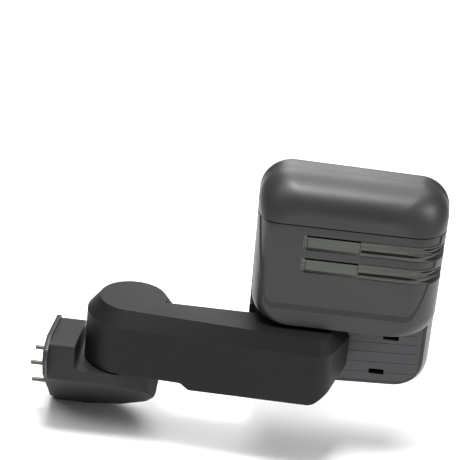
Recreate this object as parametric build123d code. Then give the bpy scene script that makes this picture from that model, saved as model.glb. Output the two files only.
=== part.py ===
"""Left-hand towing mirror: door foot, folding arm, sliding head, two adjustable glasses and two lamps.

Frame: +X points outboard from the door, +Y rearward (the glasses face +Y), +Z up.
The origin is the centre of the three door studs, on the plane of the door panel.
Lengths are millimetres. The mirror is drawn deployed, with its head slid fully outboard.
"""

import os
from math import cos, pi, radians, sin, sqrt

from build123d import *

# ---------------------------------------------------------------- driving dimensions
# Foot and door interface
STUD_PCD = 52.0
STUD_R = 3.0
STUD_SHANK_R = 4.0
STUD_OUT = 22.0
STUD_PAD_R = 8.5
GASKET_T = 3.5
PLATE_T = 6.0
PLATFORM_Z = 28.0
FOOT_FRONT_Y = -60.0
FOOT_REAR_Y = 78.0
WALL_X = 42.0
FOOT_SKIN = 3.0
OUTLET_Y, OUTLET_Z, OUTLET_R = 34.0, -34.0, 6.0
LOCATOR_Y, LOCATOR_Z = 52.0, 14.0
DOOR_SIDE = -20.0
FOOT_XZ = [(DOOR_SIDE, 75), (WALL_X, 75), (WALL_X, PLATFORM_Z), (160, PLATFORM_Z), (156, -12),
           (142, -40), (104, -66), (16, -86), (DOOR_SIDE, -60)]
FOOT_XZ_R = [1, 4, 6, 5, 20, 26, 30, 12, 1]
FOOT_YZ = [(FOOT_FRONT_Y, 66), (FOOT_REAR_Y, 38), (FOOT_REAR_Y, -82), (44, -80), (FOOT_FRONT_Y, 10)]
FOOT_YZ_R = [6, 12, 14, 14, 8]
FOOT_XY = [(DOOR_SIDE, FOOT_FRONT_Y), (100, FOOT_FRONT_Y), (144, -46), (159, -20), (159, 26), (140, 54),
           (80, 72), (DOOR_SIDE, FOOT_REAR_Y)]
FOOT_XY_R = [1, 40, 16, 14, 14, 20, 40, 1]
FLANGE_YZ = [(-70, 60), (-40, 66), (70, 44), (76, 30), (76, -72), (46, -76), (-63, 18), (-74, 44)]
FLANGE_T = 3.0
HUB_SEAT_R = 36.0
FOOT_SCREWS = ((-44, 42, 44), (56, 26, 60), (60, -58, 110))

# Fold pivot
PIVOT_X = 112.0
POST_R, POST_BORE = 14.0, 9.0
BUSH_R = 17.0
HUB_R = 30.0
FIT = 0.05

# Arm
BOSS_R = 62.0
ARM_Z0, ARM_Z1 = 31.0, 122.0
BEAM_Z0 = 22.0
BEAM_RISE = 4.0
BEAM_STEP_X = 196.0
BEAM_END_X = 386.0
BEAM_END_REAR_X = 420.0
BEAM_FRONT_Y = -80.0
BEAM_REAR_Y = 7.0
ARM_CHAMFER_Z, ARM_CHAMFER_XY = 21.0, 16.0
ARM_SKIN = 3.0
NECK_X0, NECK_X1 = 288.0, 304.0
NECK_Z0, NECK_Z1 = 62.0, 90.0
CARRIAGE_X1 = 318.0
CARRIAGE_Y0, CARRIAGE_Y1 = 19.0, 43.0
CARRIAGE_Z0, CARRIAGE_Z1 = 36.0, 112.0
ROD_Y, ROD_R = 31.0, 6.0
ROD_Z = (48.0, 100.0)
ROD_BUSH_R = 8.0
ROD_X0, ROD_X1 = 279.0, 420.0
TRAVEL = 88.0
BEAM_XY = [(PIVOT_X - 8, -BOSS_R), (BEAM_END_X, BEAM_FRONT_Y), (BEAM_END_REAR_X, BEAM_REAR_Y),
           (PIVOT_X - 8, BEAM_REAR_Y)]
RIDGE_OUT_X, RIDGE_OUT_Y = 5.0, -7.0
BEAM_XY_R = [1, 30, 12, 1]
SPINE_Y0, SPINE_Y1 = -40.0, -8.0
SPINE_Z0, SPINE_Z1 = 54.0, 96.0
HUB_TOP = 84.0
SPRING_R, SPRING_WIRE_R = 19.0, 1.8
SPRING_PITCH, SPRING_TURNS = 4.2, 3
ARM_SCREWS = ((168, -24), (232, -24), (296, -24))

# Head
HEAD_X0, HEAD_X1 = 274.0, 532.0
HEAD_Z0, HEAD_Z1 = 10.0, 338.0
RIM_Z0, RIM_Z1 = -4.0, 308.0
SHOULDER_Y = 84.0
LEAN_IN, LEAN_TOP, LEAN_LOW = 6.0, 5.0, 11.0
R_IN, R_OUT = 26.0, 40.0
SHELL_Z0 = 125.0
SEAM_Y = 34.0
RIM_Y = 94.0
BAND_Y, BAND_Z = -48.0, 160.0
SKIN = 3.0
CAP_Z = 277.0
GAP = 0.5
NOSE_Y = 2.0
NOSE_STEPS = 7
INSET_IN, INSET_OUT, INSET_LOW, INSET_TOP = 26.0, 42.0, 4.0, 44.0
SEAM_OUT, SEAM_TOP = 6.0, 4.0
SHELL_R_IN, SHELL_R_OUT, SHELL_R_LOW = 44.0, 42.0, 30.0
FLARE_OUT, FLARE_LOW = 12.0, 5.0
FRONT_RADII = [R_IN, R_OUT, SHELL_R_OUT, SHELL_R_IN]
CLIP_Z = (238.0, 268.0)
LEDGE_IN, LEDGE_RISE = 1.5, 8.0
FUNNEL_Y = 66.0
OPEN_AT_RIM = 11.0
RIB_HALF = 1.7
BOSS_XZ = ((284, 72), (284, 200), (284, 284), (520, 64), (518, 222), (516, 268))
SWEPT_X0, SWEPT_X1, SWEPT_Y = 290.0, 514.8, 56.0
PLATE_LOW_Y, PLATE_HIGH_Y = 46.0, 40.0
PLATE_THICK = 4.0

# Turn signal bars
BAR_X0 = 335.0
BAR_SPLIT_X = 412.0
BARS = ((242.0, 264.0), (209.0, 231.0))
BAR_END_Y = 16.0

# Lower front panel
PANEL_Y0, PANEL_Y1 = 12.0, 15.0
SLOT_X1 = NECK_X1 + TRAVEL + 1.5
SLOT_X0 = NECK_X0 - 1.5
PANEL_XZ = [(HEAD_X0 + 6, HEAD_Z0 + 9), (HEAD_X1 - 16, HEAD_Z0 + 9 + LEAN_LOW),
            (HEAD_X1 - 16, SHELL_Z0 - 0.6), (HEAD_X0 + 6, SHELL_Z0 - 0.6)]
PANEL_R = [22, 30, 1, 1]
PANEL_TABS = ((282.0, 62.0), (282.0, 112.0), (513.2, 70.0), (513.2, 112.0), (350.0, 25.6), (450.0, 30.3))
GROOVE_Z = (94.0, 80.0, 66.0, 50.0, 34.0)
GROOVE_X0, GROOVE_X1 = 296.0, 510.0
GROOVE_HALF, GROOVE_DEEP, GROOVE_RISE = 0.35, 0.7, 9.0
WINDOWS = ((472.0, 97.0, 22.0), (458.0, 42.0, 21.0))

# Glasses
GLASS_FACE_Y = 77.0
GLASS_T = 2.2
GLASS_X0, GLASS_X1 = 296.6, 513.0
GLASS_Z1, GLASS_Z0 = 291.0, 32.0
NOTCH_X = 463.0
NOTCH_Z1, NOTCH_Z0 = 170.6, 80.0
SPLIT_IN_Z, SPLIT_OUT_Z = 124.0, 116.2
SPLIT_HALF = 5.0
OPENING = 4.0
CONVEX_R = 1400.0
GIMBAL_Y = 61.0
UPPER_PIVOT = (398.0, 214.0)
LOWER_PIVOT = (390.0, 76.0)
PLUNGER_ARM = 32.0
PLUNGER_R = 4.0
GEAR_TEETH, PINION_TEETH = 20, 10
GEAR_MODULE = 1.0
GEAR_SPACING = 15.2
ACT_HALF = 47.0
ACT_SCREW = 40.0
ACT_Y0, ACT_SEAM_Y, ACT_Y1 = 14.0, 46.0, 54.0
TILT_NUT = (UPPER_PIVOT[0], UPPER_PIVOT[1] + PLUNGER_ARM)
PAN_NUT = (UPPER_PIVOT[0] + PLUNGER_ARM, UPPER_PIVOT[1])
TILT_PINION = (TILT_NUT[0] - GEAR_SPACING, TILT_NUT[1])
PAN_PINION = (PAN_NUT[0], PAN_NUT[1] - GEAR_SPACING)
GEAR_Y0, GEAR_Y1 = 38.5, 45.0
MOTOR_R, MOTOR_Y0, MOTOR_Y1 = 7.5, 17.0, 36.0
RING_R, RING_BORE, RING_T = 15.0, 11.0, 5.0
EAR_R0, EAR_R1, EAR_HALF = 16.0, 20.0, 3.0
PIN_R = 1.5

# Reversing lamp in the glass side
LAMP_X, LAMP_Z = 497.0, 123.0
POD_XZ = [(473.0, 140.0), (484.0, 153.5), (525.0, 163.5), (525.0, 81.5), (473.0, 91.0)]
POD_R = [8, 9, 14, 14, 8]
POD_HOLLOW_XZ = [(482.5, 142.5), (520.0, 151.0), (520.5, 89.0), (483.5, 95.0)]
POD_TOP_Y, POD_FLOOR_Y = 90.0, 75.5
LENS_HALF_W, LENS_HALF_H = 9.5, 19.5


# ---------------------------------------------------------------- helpers
def outline(points, radii):
    """A closed face through points, with one corner radius for each, or one for all."""
    if not isinstance(radii, (list, tuple)):
        radii = [radii] * len(points)
    return make_face(FilletPolyline(*points, radius=list(radii), close=True))


def slab_x(points, radii, x0, x1):
    """A prism along X over an outline of (y, z) points."""
    return extrude(Plane.YZ.offset(x0) * outline(points, radii), x1 - x0)


def slab_y(points, radii, y0, y1):
    """A prism along Y over an outline of (x, z) points."""
    return extrude(Plane.XZ.offset(-y1) * outline(points, radii), y1 - y0)


def slab_z(points, radii, z0, z1):
    """A prism along Z over an outline of (x, y) points."""
    return extrude(Plane.XY.offset(z0) * outline(points, radii), z1 - z0)


def box(x0, x1, y0, y1, z0, z1):
    return Pos((x0 + x1) / 2, (y0 + y1) / 2, (z0 + z1) / 2) * Box(x1 - x0, y1 - y0, z1 - z0)


def rod_x(r, x0, x1, y, z):
    return Pos((x0 + x1) / 2, y, z) * Rot(0, 90, 0) * Cylinder(r, x1 - x0)


def rod_y(r, y0, y1, x, z):
    return Pos(x, (y0 + y1) / 2, z) * Rot(90, 0, 0) * Cylinder(r, y1 - y0)


def rod_z(r, z0, z1, x, y):
    return Pos(x, y, (z0 + z1) / 2) * Cylinder(r, z1 - z0)


def rect(x0, x1, z0, z1):
    return [(x0, z0), (x1, z0), (x1, z1), (x0, z1)]


def screw(length, shank_r=2.0, head_r=4.0, head_t=2.6):
    """A pan-head screw along +Z: its head, with a cross recess, is below z = 0 and its shank points up."""
    body = Pos(0, 0, length / 2) * Cylinder(shank_r, length)
    head = Pos(0, 0, -head_t / 2) * Cylinder(head_r, head_t)
    head = chamfer(head.edges().group_by(Axis.Z)[0], 0.7)
    cross = Pos(0, 0, -head_t) * (Box(head_r, 0.9, 2.2) + Box(0.9, head_r, 2.2))
    return body + head - cross


def solids_of(*shapes):
    """Several separate solids as one compound."""
    parts = []
    for shape in shapes:
        parts += list(shape.solids())
    return Compound(children=parts)


NODES = {}


def keep(name, shape):
    NODES[name] = shape


# ---------------------------------------------------------------- door foot
def inset_points(points, d):
    """The points of a closed outline, each side moved inwards by d."""
    n = len(points)
    area = sum(points[i][0] * points[(i + 1) % n][1] - points[(i + 1) % n][0] * points[i][1]
               for i in range(n))
    turn = 1 if area > 0 else -1
    lines = []
    for i in range(n):
        (ax, ay), (bx, by) = points[i], points[(i + 1) % n]
        length = sqrt((bx - ax) ** 2 + (by - ay) ** 2)
        nx, ny = -turn * (by - ay) / length, turn * (bx - ax) / length
        lines.append((ax + nx * d, ay + ny * d, bx - ax, by - ay))
    moved = []
    for i in range(n):
        px, py, ux, uy = lines[i - 1]
        qx, qy, vx, vy = lines[i]
        cross = ux * vy - uy * vx
        t = ((qx - px) * vy - (qy - py) * vx) / cross
        moved.append((px + ux * t, py + uy * t))
    return moved


def inset_radii(radii, d):
    return [max(r - d, 0.8) for r in radii]


def foot_body(d):
    """The foot's wedge with every side moved in by d."""
    body = slab_y(inset_points(FOOT_XZ, d), inset_radii(FOOT_XZ_R, d), -90, 100)
    body &= slab_x(inset_points(FOOT_YZ, d), inset_radii(FOOT_YZ_R, d), DOOR_SIDE, 170)
    body &= slab_z(inset_points(FOOT_XY, d), inset_radii(FOOT_XY_R, d), -110, 100)
    return body


def stud_places():
    """(y, z) of the three studs, a triangle pointing down."""
    return [(STUD_PCD / 2 * cos(radians(a)), STUD_PCD / 2 * sin(radians(a))) for a in (30, 150, 270)]


def stud(y, z):
    """One door stud: its shank sits in the casting and its threaded end leads out through the door."""
    body = rod_x(STUD_R, -STUD_OUT, 0, y, z)
    body = chamfer(body.edges().group_by(Axis.X)[0], 0.8)
    return body + rod_x(STUD_SHANK_R, 0, GASKET_T + PLATE_T, y, z)


def make_foot():
    plate_x = GASKET_T + FLANGE_T
    beyond_flange = box(plate_x, 200, -120, 120, -120, 120)
    cover = (foot_body(0) - foot_body(FOOT_SKIN)) & beyond_flange
    cover -= rod_z(HUB_SEAT_R + 0.3, PLATFORM_Z - 8, PLATFORM_Z + 5, PIVOT_X, 0)
    for y, z, reach in FOOT_SCREWS:
        cover += rod_x(4.5, plate_x + FLANGE_T + 0.1, reach, y, z) & foot_body(FOOT_SKIN / 2)
        cover -= rod_x(2.0, 0, 22, y, z)
    keep("foot_cover", cover)

    inner = foot_body(FOOT_SKIN + 0.2)
    casting = slab_x(FLANGE_YZ, 5, GASKET_T, plate_x)
    casting += inner & box(plate_x - 1, plate_x + FLANGE_T, -100, 100, -100, 100)
    hub = rod_z(HUB_SEAT_R, 0, PLATFORM_Z, PIVOT_X, 0)
    deck = box(plate_x, PIVOT_X, -34, 34, 14, PLATFORM_Z - FOOT_SKIN - 0.3)
    web = box(plate_x, PIVOT_X, -4, 4, -22, 20) & inner
    casting += hub + deck + web
    for y, z in stud_places():
        casting += rod_x(STUD_PAD_R, 0, plate_x + FLANGE_T, y, z)
        casting -= rod_x(STUD_SHANK_R, -5, 20, y, z)
    casting += box(0, GASKET_T + 1, LOCATOR_Y - 6, LOCATOR_Y + 6, LOCATOR_Z - 6, LOCATOR_Z + 6)
    casting -= rod_z(POST_R, -5, PLATFORM_Z + 5, PIVOT_X, 0)
    casting -= rod_x(OUTLET_R + 4, -5, 20, OUTLET_Y, OUTLET_Z)
    for y, z, _ in FOOT_SCREWS:
        casting -= rod_x(2.2, 0, 20, y, z)
    keep("foot_casting", casting)

    gasket = slab_x(FLANGE_YZ, 5, 0.3, GASKET_T) - slab_x(inset_points(FLANGE_YZ, 6), 3, -5, 20)
    for y, z in stud_places():
        gasket -= rod_x(STUD_PAD_R + 0.5, -5, 20, y, z)
    keep("door_gasket", gasket)
    keep("door_studs", solids_of(*[stud(y, z) for y, z in stud_places()]))

    inner_x = plate_x + FLANGE_T
    grommet = rod_x(OUTLET_R + 4, GASKET_T, inner_x, OUTLET_Y, OUTLET_Z)
    grommet += rod_x(OUTLET_R + 6.5, 1, GASKET_T, OUTLET_Y, OUTLET_Z)
    grommet += rod_x(OUTLET_R + 6.5, inner_x, inner_x + 2.5, OUTLET_Y, OUTLET_Z)
    grommet -= rod_x(OUTLET_R, -5, 30, OUTLET_Y, OUTLET_Z)
    keep("harness_grommet", grommet)

    post = rod_z(POST_R, 2, 110, PIVOT_X, 0) - rod_z(POST_BORE, -5, 120, PIVOT_X, 0)
    keep("pivot_post", post)

    ring = rod_z(34, PLATFORM_Z, ARM_Z0 - 0.4, PIVOT_X, 0) - rod_z(POST_R, 0, 40, PIVOT_X, 0)
    for a in (0, 60, 120):
        ring -= Pos(PIVOT_X, 0, ARM_Z0 - 0.4) * Rot(0, 0, a) * Rot(45, 0, 0) * Box(80, 1.6, 1.6)
    keep("detent_ring", ring)
    keep("foot_cover_screws", solids_of(*[
        Pos(GASKET_T, y, z) * Rot(0, 90, 0) * screw(15) for y, z, _ in FOOT_SCREWS]))


# ---------------------------------------------------------------- folding arm
def arm_prism(d, z0, z1):
    """A prism over the arm's plan."""
    body = rod_z(BOSS_R - d, z0, z1, PIVOT_X, 0)
    return body + slab_z(inset_points(BEAM_XY, d), inset_radii(BEAM_XY_R, d), z0, z1)


def arm_roof(d):
    """The arm's body down to z = 0, with the sloping band round its top edge."""
    slope = ARM_CHAMFER_XY / ARM_CHAMFER_Z
    knee = ARM_Z1 - ARM_CHAMFER_Z - 0.34 * d
    top = ARM_Z1 - d
    run = (top - knee) * slope
    boss = rod_z(BOSS_R - d, 0, knee, PIVOT_X, 0)
    boss += Pos(PIVOT_X, 0, (knee + top) / 2) * Cone(BOSS_R - d, BOSS_R - d - run, top - knee)
    beam = slab_z(inset_points(BEAM_XY, d), inset_radii(BEAM_XY_R, d), 0, knee)
    low = Plane.XY.offset(knee) * outline(inset_points(BEAM_XY, d), inset_radii(BEAM_XY_R, d))
    ridge = inset_points(BEAM_XY, d + run)
    ridge[1] = (ridge[1][0] + RIDGE_OUT_X, ridge[1][1] + RIDGE_OUT_Y)
    high = Plane.XY.offset(top) * outline(ridge, inset_radii(BEAM_XY_R, d + run))
    return boss + beam + loft([low, high], ruled=True)


def underside_z(x):
    """Height of the arm's underside at a screw."""
    if x < BEAM_STEP_X:
        return ARM_Z0
    return BEAM_Z0 + BEAM_RISE * (x - BEAM_STEP_X - 6) / (BEAM_END_X - BEAM_STEP_X - 20)


def arm_underside(lift):
    """Everything below the arm: level under the boss, a small step, then the cut-up outboard end."""
    z0, z1 = ARM_Z0 + lift, BEAM_Z0 + lift
    end = z1 + BEAM_RISE
    points = [(0, -50), (0, z0), (BEAM_STEP_X - 6, z0), (BEAM_STEP_X + 6, z1), (BEAM_END_X - 14, end),
              (BEAM_END_REAR_X + 20, end + 52), (BEAM_END_REAR_X + 20, -50)]
    return slab_y(points, [1, 1, 8, 8, 24, 1, 1], -150, 100)


def make_arm():
    body = arm_roof(0) - arm_underside(0)
    cover = body - arm_roof(ARM_SKIN)
    neck_hole = box(NECK_X0 - 0.4, NECK_X1 + 0.4, -20, 50, NECK_Z0 - 0.4, NECK_Z1 + 0.4)
    cover -= neck_hole
    keep("arm_cover", cover)

    floor = (arm_prism(ARM_SKIN + 0.15, 0, 90) & (arm_underside(ARM_SKIN) - arm_underside(0)))
    floor -= rod_z(HUB_SEAT_R, 0, 60, PIVOT_X, 0)
    for x, y in ARM_SCREWS:
        floor -= rod_z(2.2, 0, 60, x, y)
    keep("arm_floor", floor)

    hub = rod_z(HUB_R, ARM_Z0 + 3.4, HUB_TOP, PIVOT_X, 0)
    spine = box(PIVOT_X, NECK_X1, SPINE_Y0, SPINE_Y1, SPINE_Z0, SPINE_Z1)
    spine -= rod_z(SPRING_R + SPRING_WIRE_R + 3, HUB_TOP, SPINE_Z1 + 1, PIVOT_X, 0)
    spine -= box(PIVOT_X + 34, NECK_X0 - 8, SPINE_Y0 - 1, SPINE_Y0 + 12, SPINE_Z0 + 6, SPINE_Z1 - 6)
    spine -= box(PIVOT_X + 34, NECK_X0 - 8, SPINE_Y1 - 12, SPINE_Y1 + 1, SPINE_Z0 + 6, SPINE_Z1 - 6)
    neck = box(NECK_X0, NECK_X1, SPINE_Y1 - 2, CARRIAGE_Y0 + 2, NECK_Z0, NECK_Z1)
    carriage = box(NECK_X0, CARRIAGE_X1, CARRIAGE_Y0, CARRIAGE_Y1, CARRIAGE_Z0, CARRIAGE_Z1)
    casting = hub + spine + neck + carriage
    for x, y in ARM_SCREWS:
        low = underside_z(x)
        casting += rod_z(5, low + ARM_SKIN + 0.2, SPINE_Z0 + 2, x, y)
        casting -= rod_z(2.0, 0, low + 18, x, y)
    casting -= rod_z(BUSH_R, 0, 120, PIVOT_X, 0)
    for z in ROD_Z:
        casting -= rod_x(ROD_BUSH_R, NECK_X0 - 1, CARRIAGE_X1 + 1, ROD_Y, z)
    keep("arm_casting", casting)

    bush = rod_z(BUSH_R, ARM_Z0 + 3.4, HUB_TOP, PIVOT_X, 0) - rod_z(POST_R + FIT, 0, 120, PIVOT_X, 0)
    keep("pivot_bush", bush)

    cam = rod_z(34, ARM_Z0, ARM_Z0 + 3.4, PIVOT_X, 0) - rod_z(POST_R + 0.5, 0, 60, PIVOT_X, 0)
    keep("detent_cam", cam)

    bushes = []
    for z in ROD_Z:
        tube = rod_x(ROD_BUSH_R, NECK_X0, CARRIAGE_X1, ROD_Y, z)
        bushes.append(tube - rod_x(ROD_R + FIT, NECK_X0 - 1, CARRIAGE_X1 + 1, ROD_Y, z))
    keep("slide_bushes", solids_of(*bushes))

    coil = Helix(SPRING_PITCH, SPRING_TURNS * SPRING_PITCH, SPRING_R)
    wire = Plane(coil @ 0, z_dir=coil % 0) * Circle(SPRING_WIRE_R)
    spring = Pos(PIVOT_X, 0, HUB_TOP + SPRING_WIRE_R + 0.4) * sweep(wire, coil)
    keep("pivot_spring", spring)

    washer_z = HUB_TOP + SPRING_TURNS * SPRING_PITCH + 2 * SPRING_WIRE_R + 0.4
    washer = rod_z(23, washer_z, washer_z + 2, PIVOT_X, 0)
    washer += rod_z(17, washer_z + 2, washer_z + 5, PIVOT_X, 0)
    washer -= rod_z(POST_R, 0, 130, PIVOT_X, 0)
    keep("spring_retainer", washer)
    keep("arm_screws", solids_of(*[
        Pos(x, y, underside_z(x) - 0.1) * screw(15) for x, y in ARM_SCREWS]))


# ---------------------------------------------------------------- head shells
def head_outline(d):
    """The glass-side outline of the head, moved in by d."""
    points = inset_points(rect(HEAD_X0, HEAD_X1, RIM_Z0, RIM_Z1), d)
    return outline(points, inset_radii([R_IN, R_OUT, R_OUT, R_IN], d))


def leaning(x0, x1, low, high):
    """A four-sided outline in (x, z) whose inboard top corner stands out and up a little."""
    return [(x0, low), (x1, low), (x1, high), (x0 - LEAN_IN, high + LEAN_TOP)]


def head_prism(d, y0, y1):
    return extrude(Plane.XZ.offset(-y1) * head_outline(d), y1 - y0)


def nose(d, z0=SHELL_Z0):
    """The rounded front of the head, moved in by d: straight sides, then a quarter-round nose."""
    sections = []
    depth = NOSE_Y - BAND_Y
    stations = [(SEAM_Y, 0.0), ((SEAM_Y + NOSE_Y) / 2, 0.0)]
    for k in range(NOSE_STEPS + 1):
        a = k * pi / 2 / NOSE_STEPS
        stations.append((NOSE_Y - (depth - d) * sin(a), 1 - cos(a)))
    for y, s in stations:
        x0 = HEAD_X0 + d + (INSET_IN - d / 2) * s
        x1 = HEAD_X1 - SEAM_OUT - d - (INSET_OUT - d / 2) * s
        low = z0 + d + (INSET_LOW - d / 2) * s
        high = HEAD_Z1 - SEAM_TOP - d - (INSET_TOP - d / 2) * s
        radii = inset_radii([SHELL_R_LOW, SHELL_R_LOW, SHELL_R_OUT, SHELL_R_IN], d)
        sections.append(Plane.XZ.offset(-y) * outline(leaning(x0, x1, low, high), radii))
    return loft(sections)


def bar_box(z0, z1, d):
    """The space one signal bar takes, moved in by d."""
    return box(BAR_X0 + d, HEAD_X1 + 10, BAND_Y - 10, BAR_END_Y - d, z0 + d, z1 - d)


def split_z(x):
    """Height of the middle of the rib between the two glasses."""
    return SPLIT_IN_Z + (x - GLASS_X0) * (SPLIT_OUT_Z - SPLIT_IN_Z) / (NOTCH_X - GLASS_X0)


UPPER_XZ = [(GLASS_X0, GLASS_Z1), (GLASS_X1, GLASS_Z1), (GLASS_X1, NOTCH_Z1), (NOTCH_X, NOTCH_Z1),
            (NOTCH_X, split_z(NOTCH_X) + SPLIT_HALF), (GLASS_X0, split_z(GLASS_X0) + SPLIT_HALF)]
UPPER_R = [10, 18, 10, 13, 5, 5]
LOWER_XZ = [(GLASS_X0, split_z(GLASS_X0) - SPLIT_HALF), (NOTCH_X, split_z(NOTCH_X) - SPLIT_HALF),
            (NOTCH_X, NOTCH_Z0), (GLASS_X1, NOTCH_Z0), (GLASS_X1, GLASS_Z0), (GLASS_X0, GLASS_Z0)]
LOWER_R = [12, 5, 13, 10, 18, 12]


def opening_points(grow):
    return rect(GLASS_X0 - grow, GLASS_X1 + grow, GLASS_Z0 - grow, GLASS_Z1 + grow)


def opening(grow):
    """The tapered hole in the bezel that the glasses look out of."""
    inner = OPENING + grow
    outer = OPEN_AT_RIM + grow
    a = Plane.XZ.offset(-(FUNNEL_Y - 1)) * outline(opening_points(inner), [14, 18, 20, 14])
    b = Plane.XZ.offset(-(RIM_Y + 1)) * outline(opening_points(outer), [20, 26, 28, 20])
    return loft([a, b], ruled=True)


def make_shells():
    outer, inner = nose(0), nose(SKIN)
    skin = outer - inner - box(HEAD_X0 + SKIN, HEAD_X1 - SKIN, SEAM_Y - 3, SEAM_Y + 3,
                               SHELL_Z0 + SKIN + 12, HEAD_Z1 - 12)
    above = box(HEAD_X0 - 5, HEAD_X1 + 5, BAND_Y - 10, SEAM_Y + 1, CAP_Z + GAP, HEAD_Z1 + 5)
    below = box(HEAD_X0 - 5, HEAD_X1 + 5, BAND_Y - 10, SEAM_Y + 1, 0, CAP_Z - GAP)
    clear = box(HEAD_X0 - 5, HEAD_X1 + 5, SEAM_Y - GAP / 2, SEAM_Y + 5, 0, HEAD_Z1 + 5)
    keep("head_cap", (skin & above) - clear)
    shell = (skin & below) - clear
    slope = LEDGE_RISE / LEDGE_IN
    ledge_z = BAND_Z - LEDGE_RISE
    wedge = slab_x([(BAND_Y - 8, ledge_z - 8 * slope), (BAND_Y + 24, ledge_z + 24 * slope),
                    (BAND_Y - 8, ledge_z + 24 * slope)], [1, 1, 1], HEAD_X0 - 20, HEAD_X1 + 20)
    shell -= (outer - nose(LEDGE_IN)) & wedge
    for z0, z1 in BARS:
        shell -= bar_box(z0, z1, 0)
    keep("front_shell", shell)

    lens_skin = nose(0.5) - nose(SKIN)
    lenses = []
    for z0, z1 in BARS:
        lenses.append((lens_skin & bar_box(z0, z1, 0.2)) - box(0, BAR_SPLIT_X, -90, 90, 0, 400))
    keep("signal_lenses", solids_of(*lenses))
    panels = []
    for z0, z1 in BARS:
        plate = box(BAR_X0 + 5, BAR_SPLIT_X - 0.4, BAND_Y + 2.2, BAND_Y + 5, z0 + 0.2, z1 - 3)
        panels.append(plate + box(BAR_X0 + 0.3, BAR_X0 + 5, BAND_Y + 1.2, BAND_Y + 5, z0 + 0.2, z1 - 0.3))
    keep("signal_panels", solids_of(*panels))


def housing_volume(d):
    """The rear housing moved in by d: its top slopes down, and its sides flare, from the seam to the rim."""
    low, top = HEAD_Z0 + FLARE_LOW, HEAD_Z1 - SEAM_TOP - 0.8
    front_x, seam_x = HEAD_X1 - FLARE_OUT, HEAD_X1 - SEAM_OUT
    front = [(HEAD_X0, low), (front_x, low + LEAN_LOW), (front_x, top), (HEAD_X0 - LEAN_IN, top + LEAN_TOP)]
    seam = [(HEAD_X0, low - FLARE_LOW), (seam_x, low - FLARE_LOW + LEAN_LOW / 2), (seam_x, top),
            (HEAD_X0 - LEAN_IN, top + LEAN_TOP)]
    rim = rect(HEAD_X0, HEAD_X1, RIM_Z0, RIM_Z1)
    sections = []
    for y, points, radii in ((PANEL_Y0, front, FRONT_RADII), (SEAM_Y, seam, FRONT_RADII),
                             (SHOULDER_Y, rim, [R_IN, R_OUT, R_OUT, R_IN])):
        face = outline(inset_points(points, d), inset_radii(radii, d))
        sections.append(Plane.XZ.offset(-y) * face)
    return loft(sections, ruled=True)


def make_rear_housing():
    rim = head_prism(0, SHOULDER_Y, RIM_Y)
    rim = fillet(rim.edges().group_by(Axis.Y)[-1], 5)
    body = housing_volume(0) + rim
    body -= box(0, 999, 0, SEAM_Y + GAP / 2, SHELL_Z0 - GAP, 999)
    cavity = head_prism(SKIN, SHOULDER_Y, RIM_Y - SKIN)
    cavity += housing_volume(SKIN) & box(0, 999, PANEL_Y1, SHOULDER_Y + 1, -99, 999)
    funnel_wall = opening(2.5) & box(0, 999, FUNNEL_Y, RIM_Y, -99, 999)
    body -= cavity - funnel_wall
    body -= opening(0)
    body -= slab_y(PANEL_XZ, PANEL_R, PANEL_Y0 - 1, PANEL_Y1 + 0.5)
    rib_x0, rib_x1 = HEAD_X0 + 12, NOTCH_X + 2
    rib = slab_y([(rib_x0, split_z(rib_x0) + RIB_HALF), (rib_x1, split_z(rib_x1) + RIB_HALF),
                  (rib_x1, split_z(rib_x1) - RIB_HALF), (rib_x0, split_z(rib_x0) - RIB_HALF)],
                 0.3, FUNNEL_Y + 0.5, GLASS_FACE_Y + 1.5)
    body += rib & opening(1.5)
    for z in CLIP_Z:
        body -= box(HEAD_X1 - 9, HEAD_X1 + 2, SEAM_Y, SEAM_Y + 13, z - 0.7, z + 0.7) - housing_volume(0.9)
    swept = box(SWEPT_X0, SWEPT_X1, SWEPT_Y, FUNNEL_Y, -99, 999)
    for x, z in BOSS_XZ:
        y = (PLATE_LOW_Y if z < SHELL_Z0 else PLATE_HIGH_Y) + PLATE_THICK
        body += rod_y(4.5, y, RIM_Y - SKIN / 2, x, z) - opening(0) - swept
        body -= rod_y(2.0, y - 1, y + 14, x, z)
    keep("rear_housing", body)

    panel = slab_y(inset_points(PANEL_XZ, 0.6), inset_radii(PANEL_R, 0.6), PANEL_Y0, PANEL_Y1)
    for x, z in PANEL_TABS:
        panel += box(x - 4, x + 4, PANEL_Y1, PANEL_Y1 + 2, z - 4, z + 4)
    panel -= slab_y(rect(SLOT_X0, SLOT_X1, NECK_Z0 - 1.5, NECK_Z1 + 1.5), 2, PANEL_Y0 - 1, PANEL_Y1 + 1)
    for z in GROOVE_Z:
        far = z + GROOVE_RISE
        near_side = [(GROOVE_X0, z - GROOVE_HALF), (GROOVE_X1, far - GROOVE_HALF)]
        far_side = [(GROOVE_X1, far + GROOVE_HALF), (GROOVE_X0, z + GROOVE_HALF)]
        panel -= slab_y(near_side + far_side, 0.1, PANEL_Y0 - 1, PANEL_Y0 + GROOVE_DEEP)
    for x, z, wide in WINDOWS:
        panel -= slab_y(rect(x - wide / 2, x + wide / 2, z - 4, z + 4), 1.2, PANEL_Y0 - 1, PANEL_Y1 + 1)
    keep("lower_panel", panel)


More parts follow.
